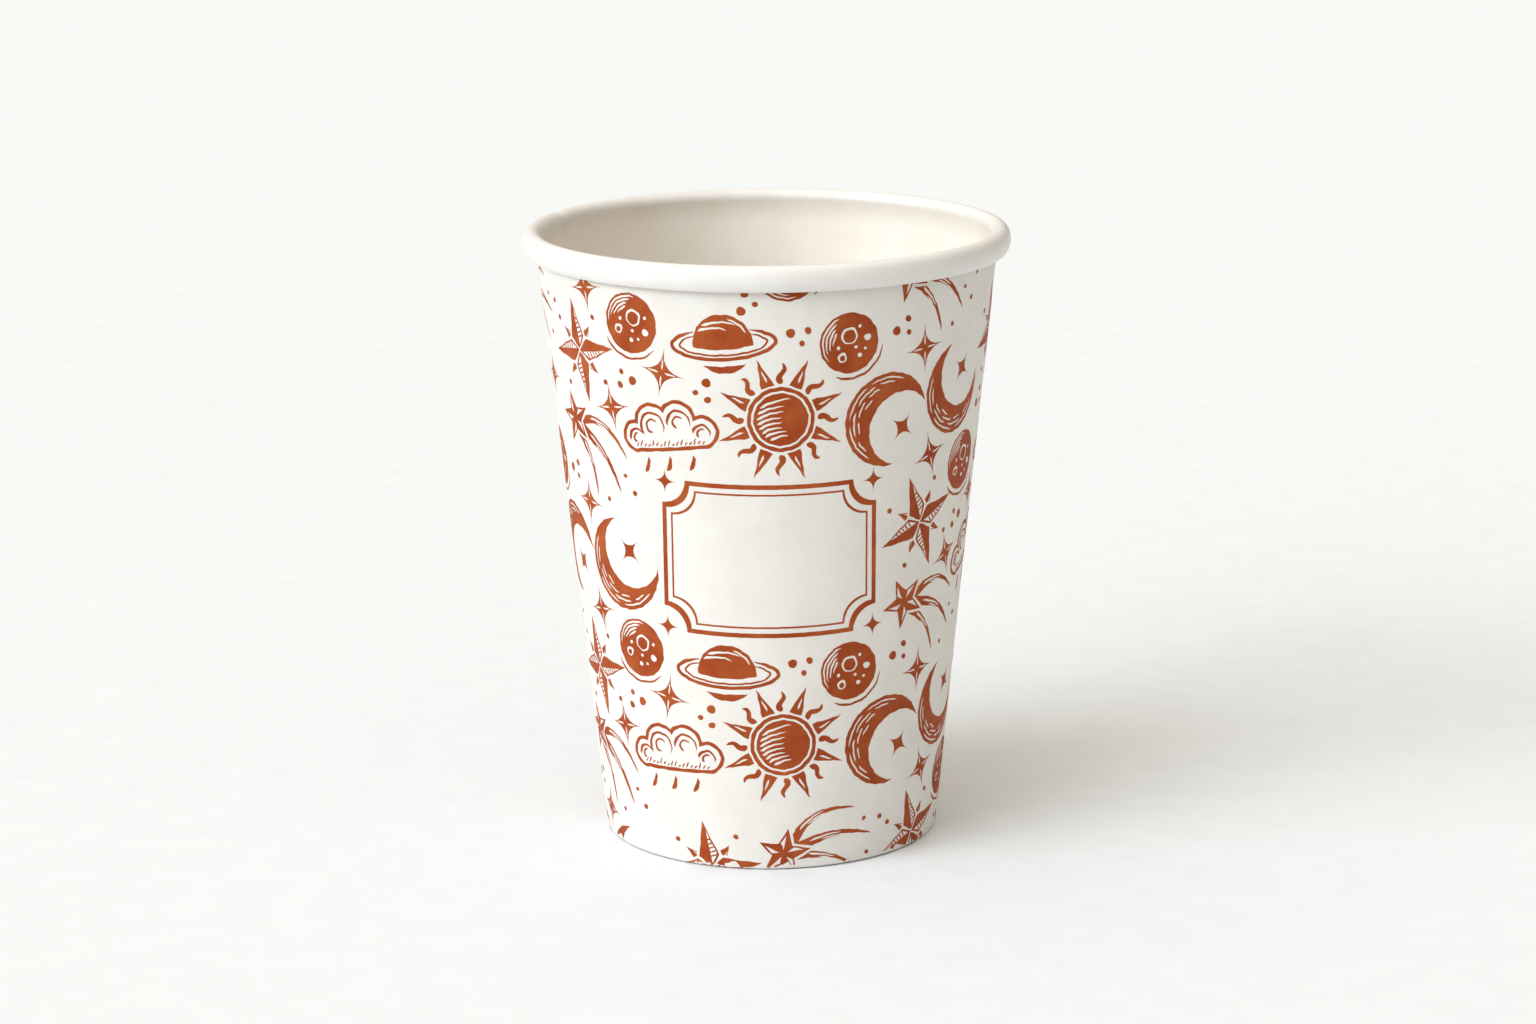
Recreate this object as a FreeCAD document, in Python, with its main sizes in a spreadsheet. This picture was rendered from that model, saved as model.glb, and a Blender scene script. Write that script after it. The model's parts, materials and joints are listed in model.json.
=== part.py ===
"""Single-wall paper cup for hot drinks, about 0.4 litre, on the common 90 mm rim.

Two pieces of coated board, joined by heat sealing:
- sidewall: one fan-shaped blank wrapped into a cone. Its upper edge is rolled outwards into the rim, its
  lower edge is folded inwards round the skirt of the bottom disc, and its straight edges overlap in a side
  seam, where the outer ply runs up over the edge of the inner ply.
- bottom_disc: a disc drawn into a shallow pan, skirt down, held in the fold.

Millimetres, +Z up, origin at the centre of the foot ring, on the table. The front is -Y.
"""

import FreeCAD
import Part
import math
import os
import Sketcher
from FreeCAD import Rotation, Vector

# Driving dimensions in mm. The seam's bearing is in degrees from +X, counter-clockwise from above.
SIZES = {
    "cup_height": 114.4,
    "rim_diameter": 90.0,  # over the rolled rim
    "base_diameter": 62.5,  # printed face of the straight wall, carried down to the table
    "wall_board": 0.38,
    "bottom_board": 0.32,
    "seal_gap": 0.02,  # coating between two sealed faces
    "roll_width": 3.4,
    "roll_height": 4.7,
    "roll_overhang": 2.1,  # from the printed face, carried up to the top plane, out to the rim
    "roll_flank_radius": 3.5,
    "neck_radius": 12.0,  # where the wall bends inwards before it rolls out
    "tuck_clearance": 0.07,  # between the seam's second ply and the edge tucked into the roll
    "tuck_headroom": 2.6,  # from the top plane down to the tucked edge
    "seam_overlap": 6.5,
    "seam_bearing": 150.0,
    "recess_depth": 7.6,  # from the table up to the underside of the bottom disc
    "hem_clearance": 2.0,  # between the folded hem's edge and the underside of the bottom disc
    "skirt_clearance": 0.1,  # between the skirt's edge and the floor of the fold
    "pan_corner_radius": 1.0,  # on the underside of the bottom disc
}

# Sizes that several pieces share, worked out from the cells above.
RIM_RADIUS = "Sizes.rim_diameter / 2"
BASE_RADIUS = "Sizes.base_diameter / 2"
# The wall's printed face, carried up to the top plane.
MOUTH_RADIUS = f"({RIM_RADIUS} - Sizes.roll_overhang)"
WALL_ANGLE = f"atan(({MOUTH_RADIUS} - {BASE_RADIUS}) / Sizes.cup_height)"
SLOT_WIDTH = "(Sizes.bottom_board + 2 * Sizes.seal_gap)"
TUCK_GAP = "(Sizes.wall_board + Sizes.tuck_clearance)"
# The outer ply leaves the cone as a flat tangent; this far on it stands one board above it.
RUN_UP = f"sqrt(2 * {MOUTH_RADIUS} * Sizes.wall_board)"
RUN_UP_AT_BASE = f"sqrt(2 * {BASE_RADIUS} * Sizes.wall_board)"
# Far enough either side of the wall to take in the rolled rim and the folded hem.
SEAM_REACH = "(3 * Sizes.roll_width)"
SEAM_PLACEMENT = (
    "placement(vector(0; 0; 0); rotation(vector(0; 0; 1); Sizes.seam_bearing))"
    f" * placement(vector({BASE_RADIUS}; 0; 0); rotation(vector(0; 1; 0); {WALL_ANGLE}))"
)

def horizontal_axis():
    """A sketch numbers its own axes below zero."""
    return (-1,)


def vertical_axis():
    return (-2,)


def origin():
    return (-1, 1)


def start_of(item):
    return (item, 1)


def end_of(item):
    return (item, 2)


def centre_of(item):
    return (item, 3)


def make_sheet(doc):
    """The spreadsheet with the driving dimensions."""
    sheet = doc.addObject("Spreadsheet::Sheet", "Sizes")
    for row, (name, value) in enumerate(SIZES.items(), start=1):
        sheet.set(f"A{row}", name)
        sheet.set(f"B{row}", str(value))
        sheet.setAlias(f"B{row}", name)
    doc.recompute()
    return sheet


def arc(centre, radius, first, last):
    """A counter-clockwise arc between two angles in radians."""
    return Part.ArcOfCircle(Part.Circle(centre, Vector(0, 0, 1), radius), first, last)


def heading(from_point, to_point):
    """The angle in radians of the direction between two points."""
    return math.atan2(to_point.y - from_point.y, to_point.x - from_point.x)


def halved_down(low, high, too_low):
    """The value between two others where too_low turns from true to false."""
    for _ in range(60):
        middle = (low + high) / 2
        if too_low(middle):
            low = middle
        else:
            high = middle
    return (low + high) / 2


class WallFrame:
    """The straight wall's slope and place, and the points beside it, from the spreadsheet's values."""

    def __init__(self, s):
        self.base = s.base_diameter / 2
        self.mouth = s.rim_diameter / 2 - s.roll_overhang
        self.angle = math.atan((self.mouth - self.base) / s.cup_height)
        self.up = Vector(math.sin(self.angle), math.cos(self.angle), 0)
        self.out = Vector(math.cos(self.angle), -math.sin(self.angle), 0)

    def beside(self, height, outwards):
        """The point at this height above the table and this far out from the printed face."""
        along = (height + outwards * math.sin(self.angle)) / math.cos(self.angle)
        return Vector(self.base, 0, 0) + self.up * along + self.out * outwards


class Section:
    """A sketch of a sheet's edge line in the half-plane through the axis: x is the radius, y is Z."""

    def __init__(self, doc, name):
        self.sketch = doc.addObject("Sketcher::SketchObject", name)
        self.sketch.Placement = FreeCAD.Placement(Vector(), Rotation(Vector(1, 0, 0), 90))

    def line(self, start, end, construction=False):
        return self.sketch.addGeometry(Part.LineSegment(start, end), construction)

    def arc(self, centre, radius, first, last):
        return self.sketch.addGeometry(arc(centre, radius, first, last), False)

    def point(self, place):
        return self.sketch.addGeometry(Part.Point(place), True)

    def fix(self, kind, *where):
        return self.sketch.addConstraint(Sketcher.Constraint(kind, *where))

    def size(self, kind, *where, value, formula):
        """A dimension driven by the spreadsheet."""
        index = self.fix(kind, *where, value)
        self.sketch.setExpression(f"Constraints[{index}]", formula)

    def measure(self, name, kind, *where):
        """A dimension that follows the others, for formulas to read by its name."""
        index = self.fix(kind, *where, 0)
        self.sketch.setDriving(index, False)
        self.sketch.renameConstraint(index, name)

    def height_of(self, item, value, formula):
        self.size("DistanceY", *origin(), *item, value=value, formula=formula)

    def radius_of(self, item, value, formula):
        self.size("DistanceX", *origin(), *item, value=value, formula=formula)


def draw_wall_line(doc, s):
    """The drinking face of the sidewall's board, from the hem's edge to the edge tucked into the rim."""
    wall = WallFrame(s)
    slot = s.bottom_board + 2 * s.seal_gap
    rim = s.rim_diameter / 2
    tuck_gap = s.wall_board + s.tuck_clearance
    hem_top = s.recess_depth - s.hem_clearance
    flank_radius = s.roll_flank_radius
    roll_foot = s.cup_height - s.roll_height
    flank_centre = Vector(rim - flank_radius, s.cup_height - s.roll_height / 2, 0)

    # First places for the sketch: each end of the roll is a circle that touches the flank from inside.
    def top_centre_at(radius):
        return Vector(rim - s.roll_width + radius, s.cup_height - radius, 0)

    def bottom_centre_at(radius):
        return wall.beside(roll_foot + radius, tuck_gap + radius)

    def inside_flank(centre_at):
        def reaches(radius):
            return centre_at(radius).distanceToPoint(flank_centre) + radius < flank_radius

        return reaches

    top_radius = halved_down(0, s.roll_height, inside_flank(top_centre_at))
    bottom_radius = halved_down(0, s.roll_height, inside_flank(bottom_centre_at))
    top_centre = top_centre_at(top_radius)
    bottom_centre = bottom_centre_at(bottom_radius)
    drinking_face = wall.beside(0, -s.wall_board)
    across = (top_centre - drinking_face).dot(wall.out) + s.neck_radius
    along = math.sqrt((s.neck_radius + top_radius) ** 2 - across**2)
    neck_centre = top_centre - wall.out * across - wall.up * along
    neck_end = heading(neck_centre, top_centre)
    flank_top = heading(flank_centre, top_centre)
    flank_bottom = heading(flank_centre, bottom_centre)

    w = Section(doc, "WallLine")
    fold_inside = wall.beside(s.wall_board, -s.wall_board - slot)
    fold_outside = wall.beside(s.wall_board, -s.wall_board)
    tuck_start = bottom_centre - wall.out * bottom_radius
    hem = w.line(wall.beside(hem_top, -s.wall_board - slot), fold_inside)
    fold_floor = w.line(fold_inside, fold_outside)
    straight = w.line(fold_outside, neck_centre + wall.out * s.neck_radius)
    neck = w.arc(neck_centre, s.neck_radius, -wall.angle, neck_end)
    top = w.arc(top_centre, top_radius, flank_top, neck_end + math.pi)
    flank = w.arc(flank_centre, flank_radius, flank_bottom, flank_top)
    bottom = w.arc(bottom_centre, bottom_radius, math.pi - wall.angle, flank_bottom + 2 * math.pi)
    tuck = w.line(tuck_start, wall.beside(s.cup_height - s.tuck_headroom, tuck_gap))
    printed_face = w.line(wall.beside(0, 0), wall.beside(s.cup_height, 0), construction=True)
    rim_point = w.point(Vector(rim, flank_centre.y, 0))
    top_point = w.point(top_centre + Vector(0, top_radius, 0))
    inner_point = w.point(top_centre - Vector(top_radius, 0, 0))
    foot_point = w.point(bottom_centre - Vector(0, bottom_radius, 0))

    w.fix("Coincident", *end_of(hem), *start_of(fold_floor))
    w.fix("Coincident", *end_of(fold_floor), *start_of(straight))
    w.fix("Tangent", *end_of(straight), *start_of(neck))
    w.fix("Tangent", *end_of(neck), *end_of(top))
    w.fix("Tangent", *start_of(top), *end_of(flank))
    w.fix("Tangent", *start_of(flank), *end_of(bottom))
    w.fix("Tangent", *start_of(bottom), *start_of(tuck))

    w.fix("PointOnObject", *start_of(printed_face), *horizontal_axis())
    w.radius_of(start_of(printed_face), wall.base, BASE_RADIUS)
    w.radius_of(end_of(printed_face), wall.mouth, MOUTH_RADIUS)
    w.height_of(end_of(printed_face), s.cup_height, "Sizes.cup_height")
    w.fix("Parallel", printed_face, straight)
    w.size("Distance", *start_of(straight), printed_face, value=s.wall_board, formula="Sizes.wall_board")

    w.fix("Horizontal", fold_floor)
    w.height_of(start_of(fold_floor), s.wall_board, "Sizes.wall_board")
    w.fix("Parallel", hem, straight)
    w.size("Distance", *end_of(hem), straight, value=slot, formula=SLOT_WIDTH)
    w.height_of(start_of(hem), hem_top, "Sizes.recess_depth - Sizes.hem_clearance")

    w.size("Radius", neck, value=s.neck_radius, formula="Sizes.neck_radius")
    w.size("Radius", flank, value=flank_radius, formula="Sizes.roll_flank_radius")
    w.height_of(centre_of(flank), flank_centre.y, "Sizes.cup_height - Sizes.roll_height / 2")
    for point, circle, along_axis in (
        (rim_point, flank, "Horizontal"),
        (top_point, top, "Vertical"),
        (inner_point, top, "Horizontal"),
        (foot_point, bottom, "Vertical"),
    ):
        w.fix("PointOnObject", *start_of(point), circle)
        w.fix(along_axis, *start_of(point), *centre_of(circle))
    w.radius_of(start_of(rim_point), rim, RIM_RADIUS)
    w.height_of(start_of(top_point), s.cup_height, "Sizes.cup_height")
    w.radius_of(start_of(inner_point), rim - s.roll_width, f"{RIM_RADIUS} - Sizes.roll_width")
    w.height_of(start_of(foot_point), roll_foot, "Sizes.cup_height - Sizes.roll_height")
    w.fix("Parallel", tuck, printed_face)
    w.size("Distance", *start_of(tuck), printed_face, value=tuck_gap, formula=TUCK_GAP)
    w.height_of(end_of(tuck), s.cup_height - s.tuck_headroom, "Sizes.cup_height - Sizes.tuck_headroom")
    w.measure("neck_start", "DistanceY", *origin(), *end_of(straight))
    return w.sketch


def draw_pan_line(doc, s):
    """The upper and outer face of the bottom disc's board, from the axis to the skirt's edge."""
    wall = WallFrame(s)
    inset = s.wall_board + s.seal_gap
    face_height = s.recess_depth + s.bottom_board
    outer_corner = s.pan_corner_radius + s.bottom_board
    skirt_foot = s.wall_board + s.skirt_clearance
    edge = wall.beside(face_height, -inset)
    corner_tangent = outer_corner * math.tan((math.pi / 2 + wall.angle) / 2)
    corner_centre = edge - Vector(corner_tangent, outer_corner, 0)

    p = Section(doc, "PanLine")
    face = p.line(Vector(0, face_height, 0), edge - Vector(corner_tangent, 0, 0))
    corner = p.arc(corner_centre, outer_corner, -wall.angle, math.pi / 2)
    skirt = p.line(corner_centre + wall.out * outer_corner, wall.beside(skirt_foot, -inset))
    printed_face = p.line(wall.beside(0, 0), wall.beside(s.cup_height, 0), construction=True)

    p.fix("PointOnObject", *start_of(face), *vertical_axis())
    p.fix("Horizontal", face)
    p.height_of(start_of(face), face_height, "Sizes.recess_depth + Sizes.bottom_board")
    p.fix("Tangent", *end_of(face), *end_of(corner))
    p.fix("Tangent", *start_of(corner), *start_of(skirt))
    p.size("Radius", corner, value=outer_corner, formula="Sizes.pan_corner_radius + Sizes.bottom_board")
    p.fix("PointOnObject", *start_of(printed_face), *horizontal_axis())
    p.radius_of(start_of(printed_face), wall.base, BASE_RADIUS)
    p.radius_of(end_of(printed_face), wall.mouth, MOUTH_RADIUS)
    p.height_of(end_of(printed_face), s.cup_height, "Sizes.cup_height")
    p.fix("Parallel", skirt, printed_face)
    p.size(
        "Distance", *start_of(skirt), printed_face, value=inset, formula="Sizes.wall_board + Sizes.seal_gap"
    )
    p.height_of(end_of(skirt), skirt_foot, "Sizes.wall_board + Sizes.skirt_clearance")
    return p.sketch


def board(doc, name, line, thickness):
    """The board's section: a strip of its thickness along one side of the line."""
    strip = doc.addObject("Part::Offset2D", name)
    strip.Source = line
    strip.Mode = "Skin"
    strip.Join = "Arc"
    strip.Fill = True
    strip.setExpression("Value", thickness)
    return strip


def turned(doc, name, section):
    """The section turned once round the cup's axis."""
    ring = doc.addObject("Part::Revolution", name)
    ring.Source = section
    ring.Base = Vector(0, 0, 0)
    ring.Axis = Vector(0, 0, 1)
    ring.Angle = 360
    ring.Solid = True
    return ring


def seam_block(doc, name, corners, foot, length):
    """A straight block beside the seam: across the wall is x, round it is y, up it is z.

    Each corner is its two formulas, then their two first values. The foot is the block's start up the
    wall, and its length is measured from there.
    """
    body = doc.addObject("PartDesign::Body", name)
    sketch = body.newObject("Sketcher::SketchObject", f"{name}Outline")
    points = [Vector(x, y, 0) for _, _, x, y in corners]
    count = len(points)
    for index in range(count):
        sketch.addGeometry(Part.LineSegment(points[index], points[(index + 1) % count]), False)
    for index in range(count):
        joined = (*end_of(index), *start_of((index + 1) % count))
        sketch.addConstraint(Sketcher.Constraint("Coincident", *joined))
    for index, (x_formula, y_formula, x, y) in enumerate(corners):
        for kind, formula, value in (("DistanceX", x_formula, x), ("DistanceY", y_formula, y)):
            placed = Sketcher.Constraint(kind, *origin(), *start_of(index), value)
            sketch.setExpression(f"Constraints[{sketch.addConstraint(placed)}]", formula)
    pad = body.newObject("PartDesign::Pad", f"{name}Pad")
    pad.Profile = sketch
    pad.setExpression("Length", length)
    lifted = f"placement(vector(0; 0; {foot}); rotation(vector(0; 0; 1); 0))"
    body.setExpression("Placement", f"{SEAM_PLACEMENT} * {lifted}")
    return body


def make_sidewall(doc, s):
    """The wrapped blank: one ply all round and a second one over the side seam."""
    line = draw_wall_line(doc, s)
    one_ply = turned(doc, "OnePly", board(doc, "OnePlySection", line, "-Sizes.wall_board"))
    two_plies = turned(doc, "TwoPlies", board(doc, "TwoPliesSection", line, "-2 * Sizes.wall_board"))

    wall = WallFrame(s)
    t = s.wall_board
    run_up = math.sqrt(2 * wall.mouth * t)
    run_up_at_base = math.sqrt(2 * wall.base * t)
    end = run_up + s.seam_overlap
    reach = 3 * s.roll_width
    overlap_end = f"{RUN_UP} + Sizes.seam_overlap"
    neck_start = f"WallLine.Constraints.neck_start / cos({WALL_ANGLE})"

    # The outer ply rises as a flat tangent from the cone, and then lies on the inner ply.
    rise_corners = [
        ("0 mm", "0 mm", 0, 0),
        ("0 mm", RUN_UP, 0, run_up),
        ("-2 * Sizes.wall_board", RUN_UP, -2 * t, run_up),
        ("-Sizes.wall_board / 2", "0 mm", -t / 2, 0),
    ]
    below_neck = f"{neck_start} - Sizes.wall_board * 1 mm"
    rise = seam_block(doc, "SeamRise", rise_corners, "0 mm", below_neck)
    overlap_corners = [
        (SEAM_REACH, RUN_UP, reach, run_up),
        (SEAM_REACH, overlap_end, reach, end),
        (f"-{SEAM_REACH}", overlap_end, -reach, end),
        (f"-{SEAM_REACH}", RUN_UP, -reach, run_up),
    ]
    overlap_length = "2 * Sizes.cup_height"
    overlap = seam_block(doc, "SeamOverlap", overlap_corners, "-Sizes.roll_height", overlap_length)
    seam_zone = doc.addObject("Part::MultiFuse", "SeamZone")
    seam_zone.Shapes = [rise, overlap]

    # The second ply stops where the fold begins, so the foot stays flat.
    above_fold = doc.addObject("Part::Box", "AboveFold")
    above_fold.setExpression("Length", "2 * Sizes.rim_diameter")
    above_fold.setExpression("Width", "2 * Sizes.rim_diameter")
    above_fold.setExpression("Height", "2 * Sizes.cup_height")
    above_fold.setExpression(
        "Placement",
        "placement(vector(-Sizes.rim_diameter; -Sizes.rim_diameter; Sizes.wall_board);"
        " rotation(vector(0; 0; 1); 0))",
    )

    seam = doc.addObject("Part::MultiCommon", "Seam")
    seam.Shapes = [two_plies, seam_zone, above_fold]
    wrapped = doc.addObject("Part::MultiFuse", "Wrapped")
    wrapped.Shapes = [one_ply, seam]
    wrapped.Refine = True

    # Inside, the outer ply lies flat up to the inner ply's edge, so that edge shows as a step.
    step_corners = [
        ("-Sizes.wall_board", "0 mm", -t, 0),
        ("-3 * Sizes.wall_board", "0 mm", -3 * t, 0),
        ("-3 * Sizes.wall_board", RUN_UP_AT_BASE, -3 * t, run_up_at_base),
        ("-Sizes.wall_board", RUN_UP_AT_BASE, -t, run_up_at_base),
    ]
    step_foot = "(Sizes.recess_depth + 2 * Sizes.bottom_board)"
    step = seam_block(doc, "SeamStep", step_corners, step_foot, f"{below_neck} - {step_foot} * 1 mm")

    sidewall = doc.addObject("Part::Cut", "Sidewall")
    sidewall.Base = wrapped
    sidewall.Tool = step
    sidewall.Refine = True
    sidewall.Label = "sidewall"
    return sidewall


def make_bottom_disc(doc, s):
    """The shallow pan, face up and skirt down."""
    section = board(doc, "PanSection", draw_pan_line(doc, s), "-Sizes.bottom_board")
    disc = turned(doc, "BottomDisc", section)
    disc.Label = "bottom_disc"
    return disc


def build():
    doc = FreeCAD.newDocument("PaperCup")
    sheet = make_sheet(doc)

    subparts = {
        "sidewall": make_sidewall(doc, sheet),
        "bottom_disc": make_bottom_disc(doc, sheet),
    }
    doc.recompute()

    for item in doc.Objects:
        if "Invalid" in item.State or "Error" in item.State:
            raise RuntimeError(f"{item.Name} did not build: {item.State}")
    os.makedirs("parts", exist_ok=True)
    for node, item in subparts.items():
        if item.Shape.isNull() or not item.Shape.isValid():
            raise RuntimeError(f"{node} is not a valid shape")
        item.Shape.exportStep(f"parts/{node}.step")


build()
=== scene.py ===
"""The finish of a paper cup for hot drinks: printed sidewall, rolled rim and bottom disc.

The board is modelled as the sheet it is. Its line runs from the hem, round the fold at the foot,
up the wall and round the rolled rim, and two plies overlap in the side seam. The print is laid out
on the flat blank, cut at the blank's edges, and wrapped on the cone with it.
"""

import json
import math

import bmesh
import bpy
import numpy as np
from bpy.props import FloatProperty, IntProperty, PointerProperty, StringProperty
from mathutils import Matrix, Vector
from mathutils.geometry import delaunay_2d_cdt

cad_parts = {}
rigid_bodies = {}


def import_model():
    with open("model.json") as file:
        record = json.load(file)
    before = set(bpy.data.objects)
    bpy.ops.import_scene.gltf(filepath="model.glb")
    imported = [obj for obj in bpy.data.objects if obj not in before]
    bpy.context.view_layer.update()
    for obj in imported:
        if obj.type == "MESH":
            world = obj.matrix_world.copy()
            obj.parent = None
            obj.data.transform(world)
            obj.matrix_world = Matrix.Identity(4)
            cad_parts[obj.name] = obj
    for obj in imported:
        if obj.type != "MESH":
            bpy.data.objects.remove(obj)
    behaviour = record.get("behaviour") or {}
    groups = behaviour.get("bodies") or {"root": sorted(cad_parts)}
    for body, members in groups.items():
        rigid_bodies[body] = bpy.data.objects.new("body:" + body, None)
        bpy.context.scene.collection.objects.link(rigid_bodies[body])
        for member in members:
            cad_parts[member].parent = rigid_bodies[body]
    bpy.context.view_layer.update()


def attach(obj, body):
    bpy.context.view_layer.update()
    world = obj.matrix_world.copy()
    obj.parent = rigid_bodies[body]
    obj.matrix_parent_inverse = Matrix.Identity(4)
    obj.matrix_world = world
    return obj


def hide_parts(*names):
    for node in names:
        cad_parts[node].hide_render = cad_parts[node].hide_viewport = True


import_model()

bl_info = {
    "name": "Paper Cup Finish",
    "version": (1, 0, 0),
    "blender": (4, 5, 0),
    "location": "3D View > Sidebar > Paper Cup",
    "description": "Builds the printed sidewall, the bottom disc and the stage of a paper cup",
    "category": "Object",
}

MM = 0.001
TURN = 2 * math.pi
FRONT = -math.pi / 2

# Folds and fits of the board that a user wouldn't change.
SEAL_GAP = 0.02 * MM
FLANK_RADIUS = 3.5 * MM
NECK_RADIUS = 12.0 * MM
TUCK_CLEARANCE = 0.07 * MM
TUCK_HEADROOM = 2.6 * MM
HEM_CLEARANCE = 2.0 * MM
SKIRT_CLEARANCE = 0.42 * MM
PAN_CORNER = 1.0 * MM
PAN_SINK = 0.22 * MM

# Bearings of the places that the fold stands on, in degrees, and their half width in radians.
STANDING = (60, 168, 345)
STANDING_WIDTH = 0.22

# Columns of points round the wall outside the seam, and round the disc.
WALL_COLUMNS = 268
DISC_COLUMNS = 180

# The ink's face and back from the board's face, and the bare edge beside the seam.
INK_FACE = 0.02 * MM
INK_BACK = -0.05 * MM
BARE_EDGE = 0.25 * MM

# Longest step along a cut outline, and between the points inside a figure, in mm.
OUTLINE_STEP = 1.2
FILL_STEP = 1.7

# Figures keep this share of the label's size away from its middle.
LABEL_CLEARANCE = 0.55

# Second tones of the mottled stuffs, and the board's tone through worn ink, in sRGB.
BARE_SHADE = "#E3DFD9"
COATED_SHADE = "#E9E3DA"
ROLLED_SHADE = "#E4E0DC"
INK_SHADE = "#9A4119"
INK_WORN = "#D9A285"
FLOOR_SHADE = "#E2E6EA"

# Noise scales, one over the size in metres: 7.7, 0.5, 10.5, 5.9, 0.8 and 9.1 mm.
PULP, FELT, COCKLE = 130.0, 1900.0, 95.0
PRESSURE, SPECKS = 170.0, 1300.0
FLOOR_PATCHES = 110.0

# Each light's bearing and height in degrees, its power, and its width in degrees.
LIGHTS = {
    "near_front": (45, 26, 1.07, 30),
    "near_side": (66, 26, 1.23, 30),
    "high": (45, 65, 0.48, 34),
}
LIGHT_COLOUR = (0.885, 0.954, 1.0)
ROOM_COLOUR = (1.0, 0.917, 0.795, 1)
ROOM_ABOVE = 1.14
ROOM_BESIDE = 0.25
FLOOR_REACH = 6.0


def metres(name, description, default):
    return FloatProperty(name=name, description=description, default=default, unit="LENGTH")


def degrees(name, description, default):
    turn = math.radians(default)
    return FloatProperty(name=name, description=description, default=turn, subtype="ANGLE")


def tone(name, description, default):
    return StringProperty(name=name, description=description + ", sRGB", default=default)


class CupBoard(bpy.types.PropertyGroup):
    """Sizes of the board and of the folds, as in the part's source."""

    height: metres("Height", "Foot to rim", 0.1144)
    rim_diameter: metres("Rim diameter", "Over the rolled rim", 0.090)
    base_diameter: metres("Base diameter", "Printed face at the table", 0.0625)
    wall_board: metres("Wall board", "Thickness of the sidewall", 0.00038)
    bottom_board: metres("Bottom board", "Thickness of the bottom disc", 0.00032)
    roll_width: metres("Roll width", "Across the rolled rim", 0.0034)
    roll_height: metres("Roll height", "Up the rolled rim", 0.0047)
    roll_overhang: metres("Roll overhang", "From the printed face to the rim", 0.0021)
    seam_overlap: metres("Seam overlap", "Width of the two plies", 0.0065)
    seam_bearing: degrees("Seam bearing", "Where the outer ply starts to rise, from +X", 150)
    recess_depth: metres("Recess depth", "Table to the disc's underside", 0.0076)
    unevenness: metres("Unevenness", "How far the board strays inwards", 0.00014)
    foot_gap: metres("Foot gap", "Most that the fold is clear of the table", 0.00018)
    board_colour: tone("Board", "Bleached board", "#E8E5E0")
    # The roll and the inside are one coated board. Their two tones are painted light: the roll's is
    # painted whiter and cooler so that it reads lit, and the warmer coating tone inside stands in for
    # its warm shade.
    coating_colour: tone("Coating", "Board under its coating", "#EDE8E1")
    roll_painted_lit_colour: tone("Roll", "Coated board of the roll, painted whiter and cooler than the inside", "#E8E5E2")


class CupPrint(bpy.types.PropertyGroup):
    """Sizes of the printed pattern on the flat blank."""

    repeat_width: metres("Repeat width", "Step of the pattern round the cup", 0.070)
    repeat_height: metres("Repeat height", "Step of the pattern up the cup", 0.062)
    label_middle: metres("Label middle", "Middle of the bare label above the table", 0.0598)
    label_width: metres("Label width", "Bare label, side to side", 0.040)
    label_height: metres("Label height", "Bare label, foot to top", 0.029)
    tilt_spread: degrees("Tilt spread", "How far the figures lean at random", 4)
    figure_scale: FloatProperty(name="Figure scale", description="Size of the figures", default=1.045)
    seed: IntProperty(name="Seed", description="Start of the random leaning", default=7)
    ink_colour: tone("Ink", "Terracotta ink", "#AC5529")


class CupStage(bpy.types.PropertyGroup):
    """Floor, light and camera."""

    floor_colour: tone("Floor", "Pale floor", "#E5E9ED")
    lens: FloatProperty(name="Lens", description="Focal length in mm on a 36 mm frame", default=90.16)
    camera_distance: metres("Camera distance", "Camera to the aim point", 0.7214)
    aim_height: metres("Aim height", "Aim point above the table", 0.05997)
    aim_side: metres("Aim side", "Aim point to the side of the axis", -0.00022)
    camera_pitch: degrees("Camera pitch", "How far the camera looks down", 13.67)
    camera_roll: degrees("Camera roll", "Turn about the line of sight", -0.49)


# The sheet and the cone


def ramp(value, start, run):
    """0 up to the start, 1 from this run past it, and even between."""
    return np.clip((value - start) / run, 0, 1)


def around(radius, angle, height):
    """Points at these radii, bearings and heights."""
    return np.stack([radius * np.cos(angle), radius * np.sin(angle), height], axis=-1)


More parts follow.
